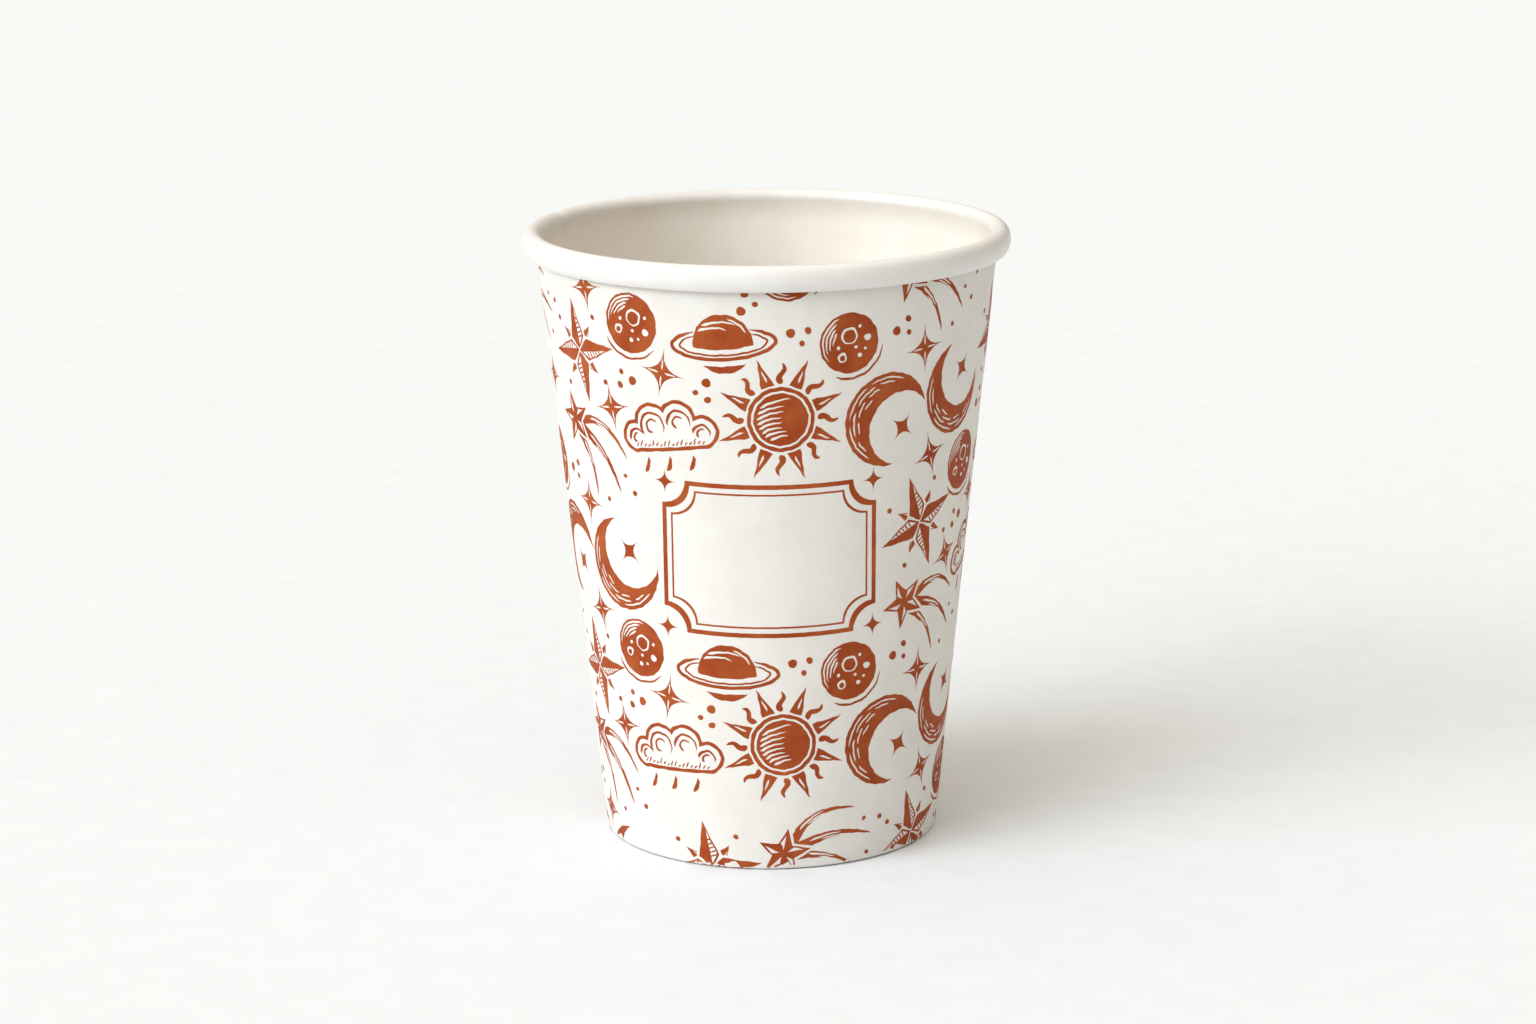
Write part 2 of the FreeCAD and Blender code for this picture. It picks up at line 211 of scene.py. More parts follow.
class Sheet:
    """The sidewall's board: its edge line in the plane through the axis, and its overlapped plies."""

    def __init__(self, board):
        self.height = board.height
        self.rim = board.rim_diameter / 2
        self.base = board.base_diameter / 2
        self.mouth = self.rim - board.roll_overhang
        self.thick = board.wall_board
        self.bottom_thick = board.bottom_board
        self.slot = board.bottom_board + 2 * SEAL_GAP
        self.recess = board.recess_depth
        self.roll_width = board.roll_width
        self.roll_height = board.roll_height
        self.overlap = board.seam_overlap
        self.bearing = board.seam_bearing
        self.uneven = board.unevenness
        self.foot_gap = board.foot_gap
        self.slope = math.atan((self.mouth - self.base) / self.height)
        self.up = Vector((math.sin(self.slope), math.cos(self.slope)))
        self.out = Vector((math.cos(self.slope), -math.sin(self.slope)))
        self.run_up = math.sqrt(2 * self.mouth * self.thick)
        self.slant_at_base = self.base / math.sin(self.slope)
        # The board turns back under the disc's skirt in one round fold, which stands on the table.
        self.fold_outside = self.thick + self.slot / 2
        self.fold = self.beside(self.fold_outside, -self.fold_outside)
        self.stations = self.edge_line()

    def beside(self, height, outwards):
        """The point at this height and this far out from the wall's printed face."""
        along = (height + outwards * math.sin(self.slope)) / math.cos(self.slope)
        return Vector((self.base, 0)) + self.up * along + self.out * outwards

    def edge_line(self):
        """Stations along the drinking face: point, direction to the printed face, and region."""
        tuck_gap = self.thick + TUCK_CLEARANCE
        flank_centre = Vector((self.rim - FLANK_RADIUS, self.height - self.roll_height / 2))

        def inside(centre_at):
            """Radius and centre of the circle that touches the flank's arc from inside."""
            low, high = 0.0, self.roll_height
            for _ in range(50):
                middle = (low + high) / 2
                if (centre_at(middle) - flank_centre).length + middle < FLANK_RADIUS:
                    low = middle
                else:
                    high = middle
            return low, centre_at(low)

        top_radius, top = inside(lambda r: Vector((self.rim - self.roll_width + r, self.height - r)))
        foot = self.height - self.roll_height
        low_radius, low = inside(lambda r: self.beside(foot + r, tuck_gap + r))
        across = (top - self.beside(0, -self.thick)).dot(self.out) + NECK_RADIUS
        along = math.sqrt((NECK_RADIUS + top_radius) ** 2 - across**2)
        neck = top - self.out * across - self.up * along

        def heading(a, b):
            return math.atan2(b.y - a.y, b.x - a.x)

        stations = []

        def line(start, end, count, region):
            side = (end - start).normalized()
            side = Vector((side.y, -side.x))
            stations.extend((start.lerp(end, k / count), side, region) for k in range(count + 1))

        def bend(centre, radius, first, last, count, region):
            """An arc walked from one angle to the other, with the board's far side on its right."""
            inwards = -1 if last < first else 1
            for k in range(1, count + 1):
                angle = first + (last - first) * k / count
                ray = Vector((math.cos(angle), math.sin(angle)))
                stations.append((centre + ray * radius, ray * inwards, region))

        fold, fold_radius = self.fold, self.slot / 2
        hem_edge = self.beside(self.recess - HEM_CLEARANCE, -self.thick - self.slot)
        tuck_edge = self.beside(self.height - TUCK_HEADROOM, tuck_gap)
        neck_end = heading(neck, top)
        to_top, to_low = heading(flank_centre, top), heading(flank_centre, low)
        line(hem_edge, fold - self.out * fold_radius, 12, "hem")
        bend(fold, fold_radius, math.pi - self.slope, TURN - self.slope, 14, "fold")
        line(fold + self.out * fold_radius, neck + self.out * NECK_RADIUS, 46, "wall")
        bend(neck, NECK_RADIUS, -self.slope, neck_end, 12, "neck")
        bend(top, top_radius, neck_end + math.pi, to_top, 22, "roll")
        bend(flank_centre, FLANK_RADIUS, to_top, to_low, 10, "roll")
        bend(low, low_radius, to_low, -math.pi - self.slope, 14, "roll")
        line(low - self.out * low_radius, tuck_edge, 2, "tuck")
        return stations

    def rise(self, across):
        """How far the outer ply has risen off the cone at this distance round it."""
        return self.thick * ramp(across, 0, self.run_up) ** 2

    def pressed(self, height):
        """How far the second ply stands out: not at the fold, where the seam is pressed flat."""
        return ramp(height, 0.6 * MM, 1.4 * MM)

    def stray(self, angle, height):
        """A slight unevenness of the wound board, always inwards and none near the foot."""
        wave = (
            np.sin(2 * angle + 0.7)
            + 0.6 * np.sin(3 * angle + 40 * height + 2.1)
            + 0.45 * np.sin(5 * angle - 70 * height)
            + 0.3 * np.sin(9 * angle + 110 * height + 1.3)
        ) / 2.35
        return -self.uneven * ramp(height, 12 * MM, 30 * MM) * (0.5 + 0.5 * wave)

    def stand(self, points):
        """Points near the foot, lifted so that the fold is just clear between its standing places."""
        x, y, z = points[..., 0], points[..., 1], points[..., 2]
        angle = np.arctan2(y, x)
        clear = 0.85 + 0.15 * np.sin(5 * angle + 1.0)
        for place in STANDING:
            apart = (angle - math.radians(place) + math.pi) % TURN - math.pi
            clear = clear * (1 - np.exp(-((apart / STANDING_WIDTH) ** 2)))
        fade = 1 - ramp(z, 1.5 * MM, 6.5 * MM)
        lift = self.foot_gap * clear * fade**2 * (3 - 2 * fade)
        return np.stack([x, y, z + lift], axis=-1)

    def on_wall(self, angle, slant, outwards):
        """Points on the printed face: bearing, distance up the slope, and lift off the face."""
        height = slant * math.cos(self.slope)
        radius = self.base + slant * math.sin(self.slope)
        across = ((angle - self.bearing) % TURN) * radius
        ply = np.where(across < self.run_up, self.rise(across), self.thick)
        ply = np.where(across < self.run_up + self.overlap, ply, 0)
        lift = outwards + ply * self.pressed(height) + self.stray(angle, height)
        # Below the wall's foot the way goes on round the fold.
        past = np.maximum(self.fold_outside / math.cos(self.slope) - slant, 0)
        bearing = -self.slope - past / self.fold_outside
        on_fold = past > 0
        reach = self.fold_outside + lift
        wall_radius = radius + lift * math.cos(self.slope)
        wall_height = height - lift * math.sin(self.slope)
        radius = np.where(on_fold, self.fold.x + reach * np.cos(bearing), wall_radius)
        height = np.where(on_fold, self.fold.y + reach * np.sin(bearing), wall_height)
        return self.stand(around(radius, angle, height))


def new_mesh(name, points, faces):
    mesh = bpy.data.meshes.new(name)
    mesh.from_pydata([tuple(p) for p in points], [], [tuple(int(i) for i in f) for f in faces])
    mesh.update()
    return mesh


def new_piece(name, data):
    piece = bpy.data.objects.new(name, data)
    bpy.context.scene.collection.objects.link(piece)
    return piece


def shade(mesh, sharp_above=math.radians(40)):
    """Smooth faces, with edges kept sharp where the board is cut or folded."""
    mesh.shade_smooth()
    mesh.set_sharp_from_angle(angle=sharp_above)


def close_sheet(name, rows, skins, ringed):
    """One closed mesh of rows of points: along a sheet's one face and back along the other.

    Skins are the materials along the first face, and the other has material 0. In a ringed sheet
    the last row meets the first.
    """
    count, columns = len(rows) // 2, len(rows[0])
    rows = rows[:count] + rows[: count - 1 : -1]
    faces, slots = [], []
    for k in range(len(rows) if ringed else len(rows) - 1):
        this, following = k * columns, (k + 1) % len(rows) * columns
        for j in range(columns):
            after = (j + 1) % columns
            faces.append((this + j, this + after, following + after, following + j))
            slots.append(skins[k] if k < count - 1 else 0)
    mesh = new_mesh(name, np.concatenate(rows), faces)
    mesh.polygons.foreach_set("material_index", slots)
    work = bmesh.new()
    work.from_mesh(mesh)
    bmesh.ops.remove_doubles(work, verts=work.verts, dist=1e-7)
    bmesh.ops.recalc_face_normals(work, faces=work.faces)
    work.to_mesh(mesh)
    work.free()
    return mesh


def wind_sidewall(sheet):
    """The wound blank as one closed mesh.

    Material 0 is the printed face, 1 the coated drinking face, and 2 the same face where it is rolled,
    painted a whiter tone so that it reads lit.
    """
    edge_in, edge_out = sheet.run_up, sheet.run_up + sheet.overlap
    # Columns stand close together at the seam's steps, and evenly round the rest.
    seam = np.concatenate(
        [
            np.linspace(-1.2 * MM, 0, 3),
            np.linspace(0.4 * MM, edge_in - SEAL_GAP, 11),
            np.linspace(edge_in, edge_out - SEAL_GAP, 9),
            [edge_out, edge_out + 0.3 * MM, edge_out + 1.2 * MM],
        ]
    )
    plain = np.linspace(0, 1, WALL_COLUMNS + 2)[1:-1]
    rows = []
    for outside in (False, True):
        for point, side, region in sheet.stations:
            radius, height = point
            across = np.concatenate([seam, seam[-1] + plain * (TURN * radius - seam[-1] + seam[0])])
            angle = sheet.bearing + across / radius
            rising = across < edge_in - SEAL_GAP / 2
            risen = np.where(rising, sheet.rise(across), 0)
            if outside:
                doubled = np.where(~rising & (across < edge_out - SEAL_GAP / 2), sheet.thick, 0)
                pressed = 0 if region == "fold" else sheet.pressed(height)
                offset = sheet.thick + (risen + doubled) * pressed
            else:
                offset = risen * (0 if region in ("hem", "fold") else ramp(height, 8 * MM, 3 * MM))
            stray = sheet.stray(angle, height)
            r = radius + side.x * offset + stray
            z = np.full_like(r, height) + side.y * offset
            if region in ("roll", "tuck", "neck"):
                z = z + stray * 0.4
            rows.append(sheet.stand(around(r, angle, z)))
    # The roll and its tuck take the rolled material, whose whiter tone is painted light.
    skins = [2 if region in ("roll", "tuck") else 1 for _, _, region in sheet.stations]
    return close_sheet("sidewall_board", rows, skins, ringed=True)


def press_disc(sheet):
    """The bottom disc, a shallow pan with its skirt down. Material 0 is bare board, 1 is coated."""
    thick = sheet.bottom_thick
    inset = sheet.thick + SEAL_GAP
    top = sheet.recess + thick
    outer = PAN_CORNER + thick
    bent = math.pi / 2 + sheet.slope
    centre = sheet.beside(top, -inset) - Vector((outer * math.tan(bent / 2), outer))
    line = [(Vector((centre.x * k / 26, top)), Vector((0, -1))) for k in range(27)]
    for k in range(1, 9):
        angle = math.pi / 2 - bent * k / 8
        ray = Vector((math.cos(angle), math.sin(angle)))
        line.append((centre + ray * outer, -ray))
    start, low = line[-1][0], sheet.beside(sheet.thick + SKIRT_CLEARANCE, -inset)
    line += [(start.lerp(low, k / 6), -sheet.out) for k in range(1, 7)]
    angle = np.arange(DISC_COLUMNS) / DISC_COLUMNS * TURN
    rows = []
    for offset in (0, thick):
        for point, side in line:
            r = np.full(DISC_COLUMNS, point.x + side.x * offset)
            # The pressed face sinks a little and is not quite flat.
            flat = np.clip(1 - (r / centre.x) ** 2, 0, 1)
            dished = flat * (1 + 0.25 * np.sin(3 * angle + r * 260) + 0.2 * np.cos(2 * angle))
            rows.append(around(r, angle, point.y + side.y * offset - PAN_SINK * dished))
    return close_sheet("bottom_disc_board", rows, [1] * len(line), ringed=False)


# Figures of the print, in mm. A figure lists (inked, outline), and later ones paint over earlier ones.


def disc(radius, x=0.0, y=0.0, step=0.5):
    count = max(12, int(TURN * radius / step))
    a = np.arange(count) / count * TURN
    return np.stack([x + radius * np.cos(a), y + radius * np.sin(a)], axis=-1)


def arc(radius, first, last, x=0.0, y=0.0, squash=1.0, count=12):
    """Points along an arc, with its angles in degrees."""
    a = np.radians(np.linspace(first, last, count))
    return np.stack([x + radius * np.cos(a), y + squash * radius * np.sin(a)], axis=-1)


def curved(a, b, bow, count=9):
    """A line from a to b that bows to its left by this much."""
    a, b = np.asarray(a, float), np.asarray(b, float)
    t = np.linspace(0, 1, count)[:, None]
    way = b - a
    left = np.array([-way[1], way[0]]) / (np.linalg.norm(way) + 1e-9)
    return a + way * t + left * bow * 4 * t * (1 - t)


def stroke(points, start_width, end_width, ends=0.12):
    """A cut line that swells or thins along its way and narrows at both ends."""
    points = np.asarray(points, float)
    along = np.gradient(points, axis=0)
    along /= np.linalg.norm(along, axis=1)[:, None] + 1e-9
    side = np.stack([-along[:, 1], along[:, 0]], axis=-1)
    t = np.linspace(0, 1, len(points))
    width = start_width + (end_width - start_width) * t
    width = width * np.minimum(1, 0.25 + np.minimum(t, 1 - t) / ends * 0.75)
    reach = side * width[:, None] / 2
    return np.concatenate([points + reach, (points - reach)[::-1]])


def turned(outline, angle, x=0.0, y=0.0):
    c, s = math.cos(angle), math.sin(angle)
    return np.asarray(outline) @ np.array([[c, s], [-s, c]]) + np.array([x, y])


def placed(figure, angle, x, y):
    return [(inked, turned(outline, angle, x, y)) for inked, outline in figure]


def sun_figure():
    """A disc with cuts on its lit side, in a ring, with straight and wavy rays."""
    figure = []
    for k in range(16):
        angle = TURN * k / 16
        if k % 2 == 0:
            right = [[6.1, -1.15], [7.0, -1.05], [9.0, -0.5], [11.4, 0]]
            left = [[9.0, 0.5], [7.0, 1.05], [6.1, 1.15]]
            cut = stroke(curved((6.9, -0.15), (9.2, -0.05), 0, 5), 0.42, 0.2)
            figure += [(True, turned(right + left, angle)), (False, turned(cut, angle))]
        else:
            t = np.linspace(0, 1, 11)
            wave = np.stack([6.3 + 3.6 * t, 0.5 * np.sin(t * TURN)], axis=-1)
            figure.append((True, turned(stroke(wave, 1.3, 0.4), angle)))
    figure += [(True, disc(5.75)), (False, disc(5.05)), (True, disc(4.65))]
    # The cuts start at the disc's lit side, and shorten towards its foot.
    for k in range(8):
        y = 3.2 - 0.86 * k
        left = -math.sqrt(max(4.1**2 - y * y, 0.1))
        length = 5.4 - 0.28 * k - 0.3 * (k % 2)
        figure.append((False, stroke(curved((left, y), (left + length, y - 0.35), 0.3), 0.55, 0.16)))
    return figure


def star_figure():
    """An eight-pointed star. One side of each point is solid, and the other is cut into lines."""
    figure = []

    def point(length, waist, angle, ticks):
        base = waist * 1.25
        halo = [[0, -0.4], [waist + 0.5, base], [0, length + 1.4], [-waist - 0.5, base]]
        body = [[0, 0], [waist, base], [0, length], [-waist, base]]
        lit = [[0.3, 0.9], [waist - 0.38, base + 0.15], [0.3, length * 0.8]]
        for inked, outline in ((False, halo), (True, body), (False, lit)):
            figure.append((inked, turned(outline, angle)))
        for k in range(ticks):
            y = base + 0.1 + k * 0.78
            reach = max(waist * (1 - (y - base) / (length - base)) - 0.12, 0.35)
            tick = stroke(curved((0.15, y - 0.3), (reach, y + 0.1), 0, 4), 0.3, 0.26)
            figure.append((True, turned(tick, angle)))

    for k in range(4):
        point(5.9, 1.5, math.pi / 4 + k * math.pi / 2, 2)
    for k in range(4):
        point(9.2, 1.95, k * math.pi / 2, 5)
    for k in range(4):
        figure.append((True, disc(0.48, *turned([[0, 8.0]], math.pi / 4 + k * math.pi / 2)[0])))
    return figure


def spark_figure(size=4.4):
    """A four-pointed star with hollow sides and a cut cross."""
    outline = []
    for k in range(4):
        a = k * math.pi / 2
        tip = np.array([math.cos(a), math.sin(a)]) * size
        following = np.array([math.cos(a + math.pi / 2), math.sin(a + math.pi / 2)]) * size
        outline.extend(curved(tip, following, size * 0.36, 8)[:-1])
    figure = [(True, np.array(outline))]
    if size > 3:
        for k in range(4):
            cut = stroke(curved((0.6, 0), (size * 0.62, 0), 0, 5), 0.4, 0.18)
            figure.append((False, turned(cut, k * math.pi / 2)))
    return figure


def crescent_figure():
    """A crescent with cut lines along its back, and a small star in its bay."""
    figure = [(True, disc(8.3)), (False, disc(6.5, 3.2, 1.0))]
    cuts = (
        (7.5, 118, 170), (7.5, 178, 226), (7.45, 236, 292), (6.75, 132, 158),
        (6.7, 166, 205), (6.7, 214, 252), (6.65, 262, 282), (5.95, 160, 184),
        (5.9, 194, 222), (5.85, 230, 250), (5.1, 182, 206),
    )
    for k, (radius, first, last) in enumerate(cuts):
        figure.append((False, stroke(arc(radius, first, last), 0.32, 0.22 + 0.03 * (k % 3))))
    return figure + placed(spark_figure(2.9), 0.25, 3.3, 1.2)


def planet_figure():
    """A banded ball with a ring round it."""
    figure = [(True, disc(5.2))]
    for k, y in enumerate((3.3, 2.35, -2.6, -3.5)):
        half = math.sqrt(4.75**2 - y * y)
        left, right = (-half, half * (0.75 - 0.5 * (k % 2)))
        figure.append((False, stroke(curved((left, y), (right, y), 0.55), 0.5, 0.2)))
    figure.append((False, stroke(arc(4.45, 25, 75), 0.4, 0.25)))
    for radius, width, squash in ((9.0, 0.62, 0.30), (7.6, 0.34, 0.26)):
        ring = arc(radius, 150 - 3 * radius, 390 + 3 * radius, squash=squash, count=40)
        if radius > 8:
            bare = arc(8.2, 165, 375, squash=0.30, count=34)
            figure.append((False, stroke(bare, 2.9, 2.9, 0.03)))
        figure.append((True, stroke(ring, width, width, 0.06)))
    return placed(figure, 0.42, 0, 0)


def ball_figure():
    """A solid ball with cut rings and pits, and cuts along its lit edge."""
    figure = [(True, disc(5.3))]
    for x, y, size in ((-0.9, 0.9, 1.5), (0.7, -2.7, 0.85)):
        figure += [(False, disc(size, x, y, 0.3)), (True, disc(size - 0.36, x + 0.08, y - 0.06, 0.3))]
    pits = (
        (1.9, 2.7, 0.62), (2.9, -0.4, 0.42), (1.3, 0.2, 0.3),
        (-1.0, -1.9, 0.34), (3.0, 1.1, 0.28), (-0.6, 3.3, 0.3),
    )
    figure += [(False, disc(size, x, y, 0.25)) for x, y, size in pits]
    for k in range(4):
        cut = arc(4.75 - 0.6 * k, 158 + 9 * k, 262 - 10 * k - 4 * (k % 2))
        figure.append((False, stroke(cut, 0.42, 0.2)))
    return figure + [(True, stroke(arc(6.3, -70, 35), 0.5, 0.3))]


def comet_figure():
    """A star with three streaming tails."""
    figure, lean = [], 2.6
    tails = ((3.2, (13.5, 6.6), 1.9), (2.2, (16.5, 0.6), 2.3), (1.4, (13.0, -5.0), 1.8))
    for bow, end, width in tails:
        start = (1.2, 0.35 * (end[1] - 0.6) / 3)
        way = curved(start, end, bow, 22)
        figure.append((True, stroke(way, width, 0.25, 0.05)))
        figure.append((False, stroke(way[5:14] + [0, 0.12], 0.46, 0.2)))
        figure.append((False, stroke(way[8:18] - [0, 0.42], 0.3, 0.12)))
    head = []
    for k in range(10):
        radius = 4.9 if k % 2 == 0 else 2.1
        angle = TURN * k / 10 + lean
        head.append([radius * math.cos(angle), radius * math.sin(angle)])
    figure += [(False, np.array(head) * 1.28), (True, np.array(head))]
    for k in range(5):
        angle = TURN * k / 5 + lean
        figure.append((False, turned([[0.7, 0.16], [3.6, 0.1], [1.9, 0.85]], angle)))
    dots = ((0.5, 18.6, 3.2), (0.42, 15.4, -3.0), (0.4, 15.2, 3.9))
    figure += [(True, disc(*dot)) for dot in dots]
    return [(inked, outline - [7.0, 0.8]) for inked, outline in figure]


def cloud_figure():
    """A cloud in line, with curls and hatching under it."""
    lobes = ((-6.4, 0.2, 2.9), (-2.6, 2.4, 3.7), (2.4, 2.9, 3.5), (6.6, 0.5, 3.0), (0.2, 0.4, 2.9))
    figure = [(True, disc(r, x, y)) for x, y, r in lobes]
    figure.append((True, [[-7.2, -2.6], [7.4, -2.5], [7.4, 0.6], [-7.2, 0.6]]))
    figure += [(False, disc(r - 0.66, x, y)) for x, y, r in lobes]
    figure.append((False, [[-6.9, -1.95], [7.1, -1.85], [7.1, 1.0], [-6.9, 1.0]]))
    curls = (
        (-2.7, 2.0, 2.3, -30, 215), (2.5, 2.4, 2.1, -20, 190),
        (-6.2, 0.0, 1.5, 10, 200), (6.4, 0.2, 1.5, -20, 170),
    )
    for x, y, r, first, last in curls:
        figure.append((True, stroke(arc(r, first, last, x, y, count=20), 0.25, 0.6)))
        inner = arc(r * 0.5, first + 60, last + 60, x, y, count=14)
        figure.append((True, stroke(inner, 0.3, 0.45)))
    for k in range(17):
        x = -6.5 + 0.8 * k
        hatch = curved((x, -1.7), (x + 0.5, -0.9 + 0.45 * math.sin(1.9 * k)), 0.1, 4)
        figure.append((True, stroke(hatch, 0.36, 0.16)))
    for k in range(3):
        way = curved((-4.6 + 4.4 * k, -3.5), (-5.6 + 4.4 * k, -6.1), 0.3, 6)
        figure.append((True, stroke(way, 0.5, 0.9)))
    return figure


def dots_figure():
    return [(True, disc(0.8, -1.5, -0.3)), (True, disc(0.62, 1.2, 0.9)), (True, disc(0.5, 0.9, -1.5))]


def label_figure(half_width, half_height, scoop=4.6):
    """A bare label on the front, with scooped corners and two lines."""

    def label(inset):
        w, h = half_width - inset, half_height - inset
        corners = []
        for sx, sy in signs:
            ends = (270, 180) if sx * sy > 0 else (180, 270)
            corners.append((arc(scoop, *ends, count=16) + [w, h]) * [sx, sy])
        points = np.concatenate(corners)
        sides = []
        for a, b in zip(points, np.roll(points, -1, axis=0)):
            # The straight sides get points enough to follow the cone.
            steps = 24 if np.linalg.norm(a - b) > 5 else 1
            sides.append(np.linspace(a, b, steps, endpoint=False))
        return np.concatenate(sides)

    signs = ((1, 1), (-1, 1), (-1, -1), (1, -1))
    insets = ((True, 0), (False, 0.85), (True, 1.75), (False, 2.1))
    figure = [(inked, label(inset)) for inked, inset in insets]
    for sx, sy in signs:
        figure += placed(spark_figure(2.3), 0, sx * (half_width - 0.6), sy * (half_height - 0.6))
    return figure


# The figures in their order, and the set of them in one repeat: figure, x and y in mm, turn.
SUN, STAR, CRESCENT, PLANET, BALL, COMET, CLOUD, SPARK, DOTS = range(9)
FIGURES = (
    sun_figure,
    star_figure,
    crescent_figure,
    planet_figure,
    ball_figure,
    comet_figure,
    cloud_figure,
    spark_figure,
    dots_figure,
)
PLACES = (
    (COMET, 33.2, -14.7, -0.65),
    (CRESCENT, 22.5, 24.6, -0.90),
    (CRESCENT, -29.9, -4.3, 0.64),
    (BALL, 14.7, -22.1, -0.77),
    (BALL, -26.0, -19.7, -1.37),
    (SUN, 2.2, 26.7, 0.40),
    (STAR, 30.4, 3.3, 0.25),
    (PLANET, -8.0, -21.6, -0.38),
    (CLOUD, -18.6, 22.3, 0.12),
    (SPARK, -39.3, 5.3, 0.01),
    (SPARK, -19.6, -27.9, -0.14),
    (SPARK, 39.0, -5.4, 0.20),
    (SPARK, 32.8, 15.7, 0.20),
    (DOTS, 42.6, 0.3, -3.10),
    (DOTS, 5.6, -19.7, -0.34),
    (DOTS, 25.6, -20.6, 0.21),
    (DOTS, -11.3, -30.5, -1.94),
    (STAR, -11.3, 1.3, 0.15),
    (COMET, 9.4, 6.3, 0.10),
    (BALL, 3.5, -8.2, 0.50),
    (SPARK, 15.8, -5.6, 0.10),
    (DOTS, -17.5, -10.2, 0.40),
    (DOTS, -4.0, -14.0, 1.00),
)


def cut_figure(name, figure, waver=0.045):
    """The figure's inked fields as one flat mesh, with small triangles that can follow the cone."""
    outlines = [(inked, hand_cut(outline, waver)) for inked, outline in figure]
    points, edges = [], []
    for _, outline in outlines:
        first = len(points)
        points.extend(Vector((float(x), float(y))) for x, y in outline)
        count = len(outline)
        edges.extend((first + k, first + (k + 1) % count) for k in range(count))
    reach = max(max(abs(p.x), abs(p.y)) for p in points)
    grid = np.arange(-reach, reach, FILL_STEP)
    for row, y in enumerate(grid):
        shift = FILL_STEP / 2 * (row % 2)
        points.extend(Vector((float(x) + shift, float(y))) for x in grid)
    verts, _, faces, *_ = delaunay_2d_cdt(points, edges, [], 0, 1e-4)
    flat = np.array([(v.x, v.y) for v in verts])
    faces = np.array(faces)
    middles = flat[faces].mean(axis=1)
    inked_faces = np.zeros(len(faces), bool)
    for inked, outline in outlines:
        inked_faces[encloses(outline, middles)] = inked
    kept = faces[inked_faces]
    used, where = np.unique(kept, return_inverse=True)
    mesh = new_mesh(name, [(x * MM, y * MM, 0) for x, y in flat[used]], where.reshape(-1, 3))
    return new_piece(name, mesh)


def hand_cut(outline, waver):
    """The outline with points close enough to follow the cone, and the waver of a line cut by hand."""
    corners = np.asarray(outline, float)
    points = []
    for a, b in zip(corners, np.roll(corners, -1, axis=0)):
        steps = math.ceil(np.hypot(*(b - a)) / OUTLINE_STEP) or 1
        points.extend(a + (b - a) * k / steps for k in range(steps))
    p = np.array(points)
    x, y = p[:, 0], p[:, 1]
    stray = [np.sin(1.9 * y + 0.8 * x) + np.sin(4.3 * y), np.sin(2.2 * x - 0.7 * y) + np.sin(3.9 * x)]
    return p + waver * np.stack(stray, axis=-1)


def encloses(outline, places):
    """Which of the places lie inside the outline."""
    a, b = outline, np.roll(outline, -1, axis=0)
    y = places[:, 1][:, None]
    crosses = (a[:, 1] > y) != (b[:, 1] > y)
    rise = np.where(b[:, 1] == a[:, 1], 1e-12, b[:, 1] - a[:, 1])
    x = a[:, 0] + (y - a[:, 1]) * (b[:, 0] - a[:, 0]) / rise
    return ((places[:, 0][:, None] < x) & crosses).sum(axis=1) % 2 == 1


class Nodes:
    """A node tree being built: add() places one node with its settings and its links.

    An input is named as its socket is, or by an underscore and the socket's number.
    """

    def __init__(self, tree):
        self.tree = tree

    def add(self, kind, settings=None, **inputs):
        node = self.tree.nodes.new(kind)
        for name, value in (settings or {}).items():
            setattr(node, name, value)
        for name, value in inputs.items():
            numbered = name.startswith("_")
            socket = node.inputs[int(name[1:]) if numbered else name.replace("_", " ")]
            if isinstance(value, bpy.types.NodeSocket):
                self.tree.links.new(value, socket)
            else:
                socket.default_value = value
        return node


PRINT_SIZES = (
    "Repeat Width",
    "Repeat Height",
    "Label Width",
    "Label Height",
    "Tilt Spread",
    "Figure Scale",
)


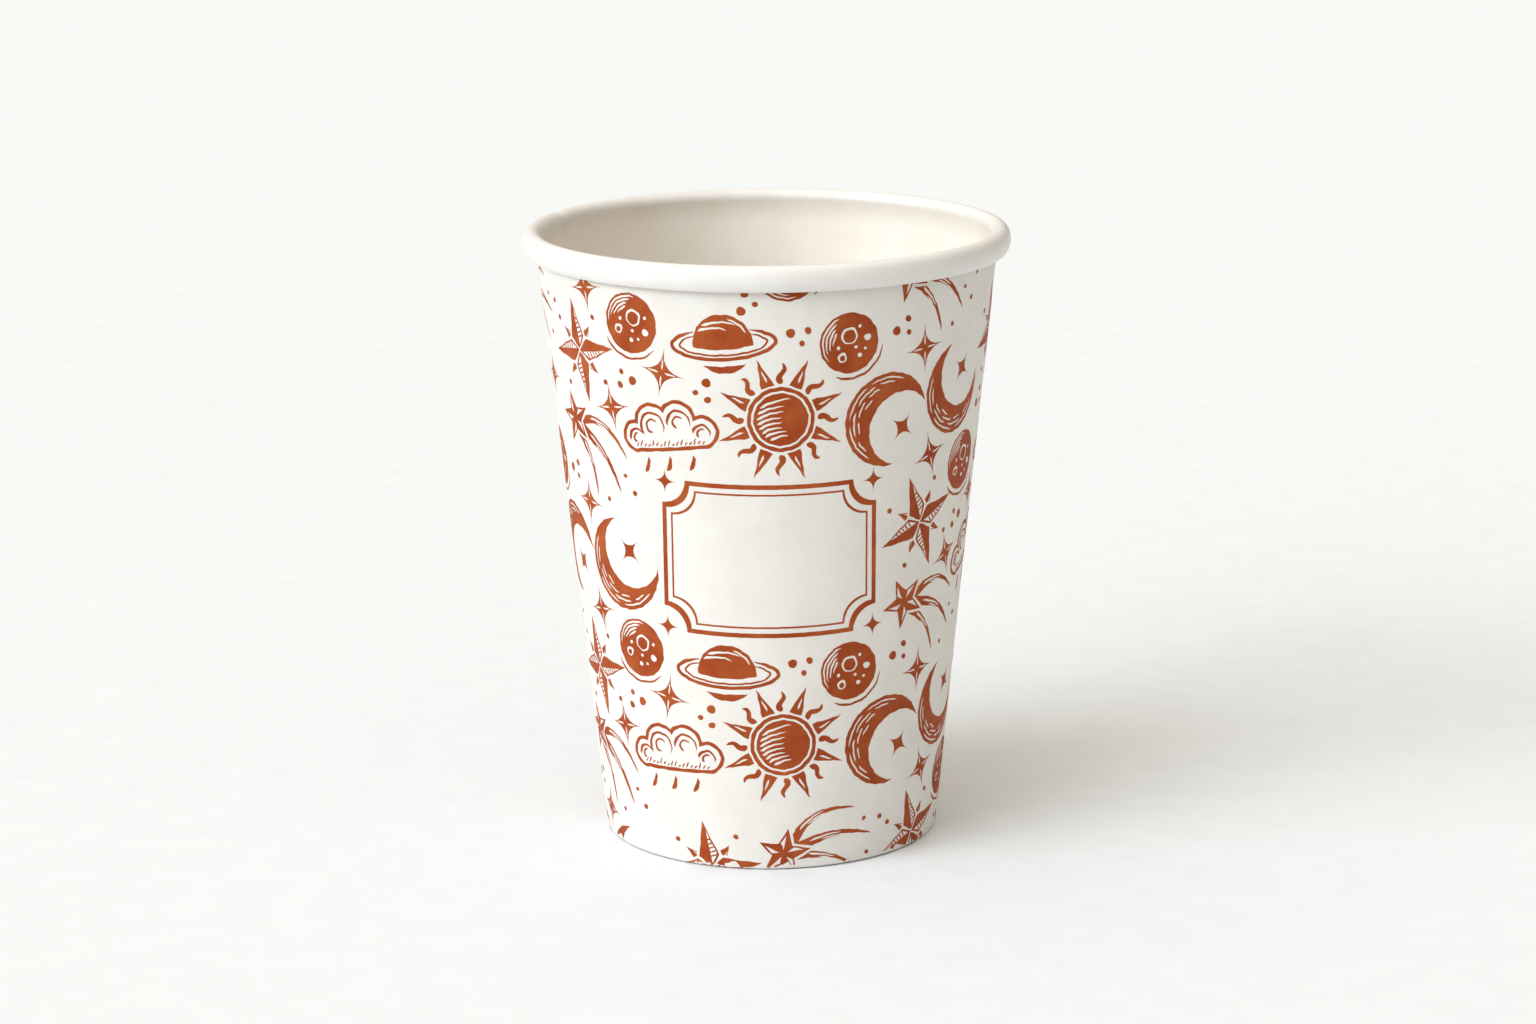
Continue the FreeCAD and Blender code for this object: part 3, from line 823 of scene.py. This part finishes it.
def print_tree():
    """Repeats a set of figures over the flat blank, half a step down in every second column."""
    tree = bpy.data.node_groups.new("cup_print", "GeometryNodeTree")
    face = tree.interface
    face.new_socket("Geometry", in_out="OUTPUT", socket_type="NodeSocketGeometry")
    sizes = ((name, "Float") for name in PRINT_SIZES)
    others = (("Places", "Object"), ("Figures", "Collection"), ("Seed", "Int"), ("Ink", "Material"))
    for name, kind in (*sizes, *others):
        face.new_socket(name, in_out="INPUT", socket_type="NodeSocket" + kind)
    nodes = Nodes(tree)
    given = nodes.add("NodeGroupInput").outputs
    multiply = {"operation": "MULTIPLY"}

    # The lattice of repeats.
    grid = {}
    for axis, step, count in (("X", "Repeat Width", 7), ("Y", "Repeat Height", 5)):
        size = nodes.add("ShaderNodeMath", multiply, _0=given[step], _1=count - 1.0)
        grid["Size_" + axis] = size.outputs[0]
        grid["Vertices_" + axis] = count
    lattice = nodes.add("GeometryNodeMeshGrid", **grid)
    place = nodes.add("GeometryNodeInputPosition").outputs[0]
    place = nodes.add("ShaderNodeSeparateXYZ", Vector=place).outputs
    column = nodes.add(
        "ShaderNodeMath", {"operation": "DIVIDE"}, _0=place["X"], _1=given["Repeat Width"]
    )
    odd = nodes.add("ShaderNodeMath", {"operation": "PINGPONG"}, _0=column.outputs[0], _1=1.0)
    step = nodes.add("ShaderNodeMath", multiply, _0=odd.outputs[0], _1=given["Repeat Height"])
    drop = nodes.add("ShaderNodeMath", multiply, _0=step.outputs[0], _1=0.5)
    dropped = nodes.add(
        "GeometryNodeSetPosition",
        Geometry=lattice.outputs["Mesh"],
        Offset=nodes.add("ShaderNodeCombineXYZ", Y=drop.outputs[0]).outputs[0],
    )
    places = nodes.add("GeometryNodeObjectInfo", Object=given["Places"])
    sets = nodes.add(
        "GeometryNodeInstanceOnPoints", Points=dropped.outputs[0], Instance=places.outputs["Geometry"]
    )
    spots = nodes.add("GeometryNodeRealizeInstances", Geometry=sets.outputs[0])

    # Figures that would lie on the front label are left off.
    near = []
    for axis, size in (("X", "Label Width"), ("Y", "Label Height")):
        off = nodes.add("ShaderNodeMath", {"operation": "ABSOLUTE"}, _0=place[axis])
        limit = nodes.add("ShaderNodeMath", multiply, _0=given[size], _1=LABEL_CLEARANCE)
        near.append(
            nodes.add(
                "ShaderNodeMath", {"operation": "LESS_THAN"}, _0=off.outputs[0], _1=limit.outputs[0]
            ).outputs[0]
        )
    on_label = nodes.add("ShaderNodeMath", multiply, _0=near[0], _1=near[1])
    clear = nodes.add(
        "GeometryNodeDeleteGeometry",
        {"domain": "POINT"},
        Geometry=spots.outputs[0],
        Selection=on_label.outputs[0],
    )

    # Each figure has its own turn, and leans a little more at random.
    least = nodes.add("ShaderNodeMath", multiply, _0=given["Tilt Spread"], _1=-1.0)
    lean = nodes.add(
        "FunctionNodeRandomValue",
        {"data_type": "FLOAT"},
        _2=least.outputs[0],
        _3=given["Tilt Spread"],
        Seed=given["Seed"],
    )
    own = nodes.add("GeometryNodeInputNamedAttribute", {"data_type": "FLOAT"}, Name="turn")
    angle = nodes.add(
        "ShaderNodeMath", {"operation": "ADD"}, _0=own.outputs[0], _1=lean.outputs[1]
    )
    turn = nodes.add("ShaderNodeCombineXYZ", Z=angle.outputs[0])
    number = nodes.add("GeometryNodeInputNamedAttribute", {"data_type": "INT"}, Name="figure")
    figures = nodes.add(
        "GeometryNodeCollectionInfo",
        Collection=given["Figures"],
        Separate_Children=True,
        Reset_Children=True,
    )
    printed = nodes.add(
        "GeometryNodeInstanceOnPoints",
        Points=clear.outputs[0],
        Instance=figures.outputs[0],
        Pick_Instance=True,
        Instance_Index=number.outputs[0],
        Rotation=turn.outputs[0],
        Scale=given["Figure Scale"],
    )
    real = nodes.add("GeometryNodeRealizeInstances", Geometry=printed.outputs[0])
    inked = nodes.add("GeometryNodeSetMaterial", Geometry=real.outputs[0], Material=given["Ink"])
    nodes.add("NodeGroupOutput", Geometry=inked.outputs[0])
    return tree


def plain_mesh(carrier, tree, name, values):
    """The tree's result as a plain mesh. The object that carried the tree is removed."""
    modifier = carrier.modifiers.new("layout", "NODES")
    modifier.node_group = tree
    for item in tree.interface.items_tree:
        if item.in_out == "INPUT" and item.name in values:
            modifier[item.identifier] = values[item.name]
    bpy.context.view_layer.update()
    evaluated = carrier.evaluated_get(bpy.context.evaluated_depsgraph_get())
    mesh = bpy.data.meshes.new_from_object(evaluated)
    mesh.name = name
    bpy.data.objects.remove(carrier)
    return mesh


def wrap_print(sheet, flat, middle_height):
    """The flat print cut to the blank, wrapped on the cone and given the thickness of its ink."""
    middle = sheet.slant_at_base + middle_height / math.cos(sheet.slope)
    work = bmesh.new()
    work.from_mesh(flat)
    bmesh.ops.translate(work, verts=work.verts, vec=(0, middle, 0))

    def cut(point, normal):
        geometry = work.verts[:] + work.edges[:] + work.faces[:]
        bmesh.ops.bisect_plane(
            work, geom=geometry, dist=1e-7, plane_co=point, plane_no=normal, clear_outer=True
        )

    def slants():
        points = np.array([v.co[:] for v in work.verts])
        return points, np.hypot(points[:, 0], points[:, 1]) - sheet.slant_at_base

    # The blank's straight edges, as lines on the flat: the outer ply's edge, met from both sides.
    edge = sheet.run_up + sheet.overlap - BARE_EDGE
    for turns, sign, reach in ((0, 1, edge), (-1, -1, edge + 2 * BARE_EDGE)):
        fan = (sheet.bearing - FRONT + turns * TURN) * math.sin(sheet.slope)
        side = Vector((math.cos(fan), -math.sin(fan), 0))
        cut(side * reach, side * sign)
    for vert, high in zip(work.verts, slants()[1]):
        vert.co.z = high
    # With the slope distance as height, two level planes cut the print at the foot and under the roll.
    under_roll = (sheet.height - sheet.roll_height + 0.9 * MM) / math.cos(sheet.slope)
    cut((0, 0, 0.05 * MM), (0, 0, -1))
    cut((0, 0, under_roll), (0, 0, 1))
    loose = [v for v in work.verts if not v.link_faces]
    bmesh.ops.delete(work, geom=loose, context="VERTS")
    bmesh.ops.triangulate(work, faces=work.faces)
    work.verts.index_update()
    points, slant = slants()
    angle = FRONT + np.arctan2(points[:, 0], points[:, 1]) / math.sin(sheet.slope)
    count = len(points)
    front = [[v.index for v in f.verts] for f in work.faces]
    back = [[count + i for i in reversed(f)] for f in front]
    sides = []
    for rim in work.edges:
        if rim.is_boundary:
            first = rim.link_loops[0].vert
            a, b = first.index, rim.other_vert(first).index
            sides.append([b, a, count + a, count + b])
    work.free()
    shell = [sheet.on_wall(angle, slant, lift) for lift in (INK_FACE, INK_BACK)]
    return new_mesh("sidewall_print", np.concatenate(shell), front + back + sides)


# Materials


def linear(hex_colour):
    """An sRGB hex colour as the linear values that the shaders take."""
    parts = [int(hex_colour[k : k + 2], 16) / 255 for k in (1, 3, 5)]
    return (*[c / 12.92 if c <= 0.04045 else ((c + 0.055) / 1.055) ** 2.4 for c in parts], 1.0)


def new_material(name, hex_colour, **settings):
    """A Principled material and its node adder, with uniform values set on the shader itself."""
    material = bpy.data.materials.new(name)
    material.use_nodes = True
    nodes = Nodes(material.node_tree)
    shader = material.node_tree.nodes["Principled BSDF"]
    shader.inputs["Base Color"].default_value = linear(hex_colour)
    for socket, value in settings.items():
        shader.inputs[socket.replace("_", " ")].default_value = value
    return material, nodes, shader


def mottle(nodes, shader, first, second, low, high, place, scale):
    """Two close tones of one stuff, mixed in soft patches of a real size."""
    noise = nodes.add("ShaderNodeTexNoise", Vector=place, Scale=scale, Detail=4.0, Roughness=0.6)
    spread = nodes.add("ShaderNodeMapRange", Value=noise.outputs[0], From_Min=low, From_Max=high)
    mix = nodes.add(
        "ShaderNodeMix",
        {"data_type": "RGBA"},
        _0=spread.outputs[0],
        _6=linear(first),
        _7=linear(second),
    )
    nodes.tree.links.new(mix.outputs[2], shader.inputs["Base Color"])
    return mix


def board_material(name, hex_colour, shade_colour, roughness, coated):
    """Bleached paperboard: calendered fibres, faintly cloudy in tone, and a little uneven.

    The cloudiness is the pulp's, in patches of 6 to 10 mm. Fibres are 0.03 mm thick and too fine to
    show, so the felt that they make is drawn at 0.5 mm. A coating fills it in part and adds a sheen.
    """
    material, nodes, shader = new_material(name, hex_colour, Roughness=roughness, IOR=1.5)
    if coated:
        shader.inputs["Coat Weight"].default_value = 0.35
        shader.inputs["Coat Roughness"].default_value = 0.32
    place = nodes.add("ShaderNodeTexCoord").outputs["Object"]
    mottle(nodes, shader, hex_colour, shade_colour, 0.40, 0.72, place, PULP)
    felt = nodes.add("ShaderNodeTexNoise", Vector=place, Scale=FELT, Detail=3.0, Roughness=0.65)
    cockle = nodes.add("ShaderNodeTexNoise", Vector=place, Scale=COCKLE, Detail=2.0)
    both = nodes.add(
        "ShaderNodeMath",
        {"operation": "MULTIPLY_ADD"},
        _0=cockle.outputs[0],
        _1=5.0,
        _2=felt.outputs[0],
    )
    depth = (0.03 if coated else 0.05) * MM
    bump = nodes.add("ShaderNodeBump", Height=both.outputs[0], Strength=1.0, Distance=depth)
    nodes.tree.links.new(bump.outputs[0], shader.inputs["Normal"])
    return material


def ink_material(hex_colour):
    """Water-based flexo ink on bare board: matt, a little thin where the plate pressed lightly.

    Worn specks are 0.3 to 0.8 mm, and the slower change of depth runs over 4 to 8 mm.
    """
    material, nodes, shader = new_material(
        "flexo_ink", hex_colour, Roughness=0.6, IOR=1.48, Specular_IOR_Level=0.15
    )
    place = nodes.add("ShaderNodeTexCoord").outputs["Object"]
    depth = mottle(nodes, shader, INK_SHADE, hex_colour, 0.38, 0.66, place, PRESSURE)
    speck = nodes.add("ShaderNodeTexNoise", Vector=place, Scale=SPECKS, Detail=3.0, Roughness=0.7)
    worn = nodes.add(
        "ShaderNodeMapRange", Value=speck.outputs[0], From_Min=0.68, From_Max=0.78, To_Max=0.5
    )
    mix = nodes.add(
        "ShaderNodeMix",
        {"data_type": "RGBA"},
        _0=worn.outputs[0],
        _6=depth.outputs[2],
        _7=linear(INK_WORN),
    )
    nodes.tree.links.new(mix.outputs[2], shader.inputs["Base Color"])
    bump = nodes.add("ShaderNodeBump", Height=speck.outputs[0], Strength=0.6, Distance=0.03 * MM)
    nodes.tree.links.new(bump.outputs[0], shader.inputs["Normal"])
    return material


# Operators


class CUP_OT_sidewall(bpy.types.Operator):
    """Wind the sidewall's board, with its rolled rim, side seam and folded foot"""

    bl_idname = "cup.sidewall"
    bl_label = "Wind Sidewall"

    def execute(self, context):
        board = context.scene.cup_board
        piece = new_piece("sidewall_board", wind_sidewall(Sheet(board)))
        for finish in (
            ("uncoated_paperboard", board.board_colour, BARE_SHADE, 0.72, False),
            ("coated_paperboard", board.coating_colour, COATED_SHADE, 0.5, True),
            # The rolled board's whiter tone is painted light, and the coated board's warmer tone
            # stands in for the shade inside.
            ("rolled_paperboard", board.roll_painted_lit_colour, ROLLED_SHADE, 0.5, True),
        ):
            piece.data.materials.append(board_material(*finish))
        shade(piece.data)
        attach(piece, "root")
        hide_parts("sidewall")
        return {"FINISHED"}


class CUP_OT_print(bpy.types.Operator):
    """Lay out the print on the flat blank and wrap it on the wall"""

    bl_idname = "cup.print"
    bl_label = "Print Sidewall"

    def execute(self, context):
        design = context.scene.cup_print
        sheet = Sheet(context.scene.cup_board)
        figures = bpy.data.collections.new("print_figures")
        context.scene.collection.children.link(figures)
        for k, draw in enumerate(FIGURES):
            figure = cut_figure(f"figure_{k}", draw())
            context.scene.collection.objects.unlink(figure)
            figures.objects.link(figure)
        spots = [(x * MM, y * MM, 0) for _, x, y, _ in PLACES]
        places = new_piece("print_places", new_mesh("print_places", spots, []))
        for name, kind, column in (("figure", "INT", 0), ("turn", "FLOAT", 3)):
            stored = places.data.attributes.new(name, kind, "POINT")
            stored.data.foreach_set("value", [place[column] for place in PLACES])
        half_width, half_height = design.label_width / MM / 2, design.label_height / MM / 2
        label = cut_figure("label", label_figure(half_width, half_height), 0.01)
        ink = ink_material(design.ink_colour)
        carrier = new_piece("print_layout", bpy.data.meshes.new("print_layout"))
        values = {"Places": places, "Figures": figures, "Seed": design.seed, "Ink": ink}
        for name in PRINT_SIZES:
            values[name] = getattr(design, name.lower().replace(" ", "_"))
        flat = plain_mesh(carrier, print_tree(), "flat_print", values)
        both = bmesh.new()
        both.from_mesh(flat)
        both.from_mesh(label.data)
        both.to_mesh(flat)
        both.free()
        mesh = wrap_print(sheet, flat, design.label_middle)
        for spare in (*figures.objects, places, label):
            bpy.data.objects.remove(spare)
        bpy.data.collections.remove(figures)
        piece = new_piece("sidewall_print", mesh)
        mesh.materials.clear()
        mesh.materials.append(ink)
        shade(mesh, math.radians(60))
        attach(piece, "root")
        return {"FINISHED"}


class CUP_OT_bottom_disc(bpy.types.Operator):
    """Press the bottom disc"""

    bl_idname = "cup.bottom_disc"
    bl_label = "Press Bottom Disc"

    def execute(self, context):
        board = context.scene.cup_board
        piece = new_piece("bottom_disc_board", press_disc(Sheet(board)))
        for finish in (
            ("bottom_paperboard", board.board_colour, BARE_SHADE, 0.75, False),
            ("coated_bottom_board", board.coating_colour, COATED_SHADE, 0.5, True),
        ):
            piece.data.materials.append(board_material(*finish))
        shade(piece.data)
        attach(piece, "root")
        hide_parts("bottom_disc")
        return {"FINISHED"}


class CUP_OT_stage(bpy.types.Operator):
    """Set the floor, the light and the camera"""

    bl_idname = "cup.stage"
    bl_label = "Set Stage"

    def execute(self, context):
        scene, stage = context.scene, context.scene.cup_stage
        r = FLOOR_REACH
        corners = [(-r, -r, 0), (r, -r, 0), (r, r, 0), (-r, r, 0)]
        floor = new_piece("floor", new_mesh("floor", corners, [(0, 1, 2, 3)]))
        matt, nodes, shader = new_material(
            "matt_floor", stage.floor_colour, Roughness=0.9, Specular_IOR_Level=0.0
        )
        place = nodes.add("ShaderNodeTexCoord").outputs["Object"]
        mottle(nodes, shader, stage.floor_colour, FLOOR_SHADE, 0.35, 0.7, place, FLOOR_PATCHES)
        floor.data.materials.append(matt)

        # A pale, warm room: most of its light comes from above, and some from the windows' side.
        world = bpy.data.worlds.new("studio")
        world.use_nodes = True
        nodes = Nodes(world.node_tree)
        room = world.node_tree.nodes["Background"]
        room.inputs["Color"].default_value = ROOM_COLOUR
        way = nodes.add("ShaderNodeTexCoord").outputs["Generated"]
        way = nodes.add("ShaderNodeSeparateXYZ", Vector=way).outputs
        above = nodes.add("ShaderNodeMapRange", Value=way["Z"], To_Max=ROOM_ABOVE)
        beside = nodes.add("ShaderNodeMapRange", Value=way["X"], From_Max=-1.0, To_Max=ROOM_BESIDE)
        light = nodes.add(
            "ShaderNodeMath", {"operation": "ADD"}, _0=above.outputs[0], _1=beside.outputs[0]
        )
        world.node_tree.links.new(light.outputs[0], room.inputs["Strength"])
        scene.world = world

        # Three broad lights at the left front: a low pair side by side, and a weaker one above.
        for name, (bearing, elevation, power, width) in LIGHTS.items():
            key = bpy.data.lights.new(name, "SUN")
            key.energy = power
            key.angle = math.radians(width)
            key.color = LIGHT_COLOUR
            lamp = new_piece(name, key)
            level = Vector((math.sin(math.radians(bearing)), math.cos(math.radians(bearing)), 0))
            travel = level - Vector((0, 0, math.tan(math.radians(elevation))))
            lamp.rotation_euler = travel.to_track_quat("-Z", "Y").to_euler()

        camera = new_piece("camera", bpy.data.cameras.new("camera"))
        camera.data.lens = stage.lens
        camera.data.sensor_width = 36.0
        camera.data.clip_end = 50
        sight = Vector((0, math.cos(stage.camera_pitch), -math.sin(stage.camera_pitch)))
        aim = Vector((stage.aim_side, 0, stage.aim_height))
        back = Matrix.Translation(aim - sight * stage.camera_distance)
        turn = Matrix.Rotation(stage.camera_roll, 4, "Z")
        camera.matrix_world = back @ sight.to_track_quat("-Z", "Y").to_matrix().to_4x4() @ turn
        scene.camera = camera
        scene.view_settings.view_transform = "Standard"
        return {"FINISHED"}


class CUP_PT_panel(bpy.types.Panel):
    """Lists the cup's steps and sizes"""

    bl_label = "Paper Cup"
    bl_idname = "CUP_PT_panel"
    bl_space_type = "VIEW_3D"
    bl_region_type = "UI"
    bl_category = "Paper Cup"

    def draw(self, context):
        layout, scene = self.layout, context.scene
        for settings, steps in (
            (scene.cup_board, ("cup.sidewall", "cup.bottom_disc")),
            (scene.cup_print, ("cup.print",)),
            (scene.cup_stage, ("cup.stage",)),
        ):
            box = layout.box()
            for name in settings.bl_rna.properties.keys():
                if name not in ("rna_type", "name"):
                    box.prop(settings, name)
            for step in steps:
                box.operator(step)


CLASSES = (
    CupBoard,
    CupPrint,
    CupStage,
    CUP_OT_sidewall,
    CUP_OT_print,
    CUP_OT_bottom_disc,
    CUP_OT_stage,
    CUP_PT_panel,
)


def register():
    for cls in CLASSES:
        bpy.utils.register_class(cls)
    bpy.types.Scene.cup_board = PointerProperty(type=CupBoard)
    bpy.types.Scene.cup_print = PointerProperty(type=CupPrint)
    bpy.types.Scene.cup_stage = PointerProperty(type=CupStage)


def unregister():
    for name in ("cup_board", "cup_print", "cup_stage"):
        delattr(bpy.types.Scene, name)
    for cls in reversed(CLASSES):
        bpy.utils.unregister_class(cls)


def main():
    register()
    bpy.ops.cup.sidewall()
    bpy.ops.cup.print()
    bpy.ops.cup.bottom_disc()
    bpy.ops.cup.stage()


if __name__ == "__main__":
    main()
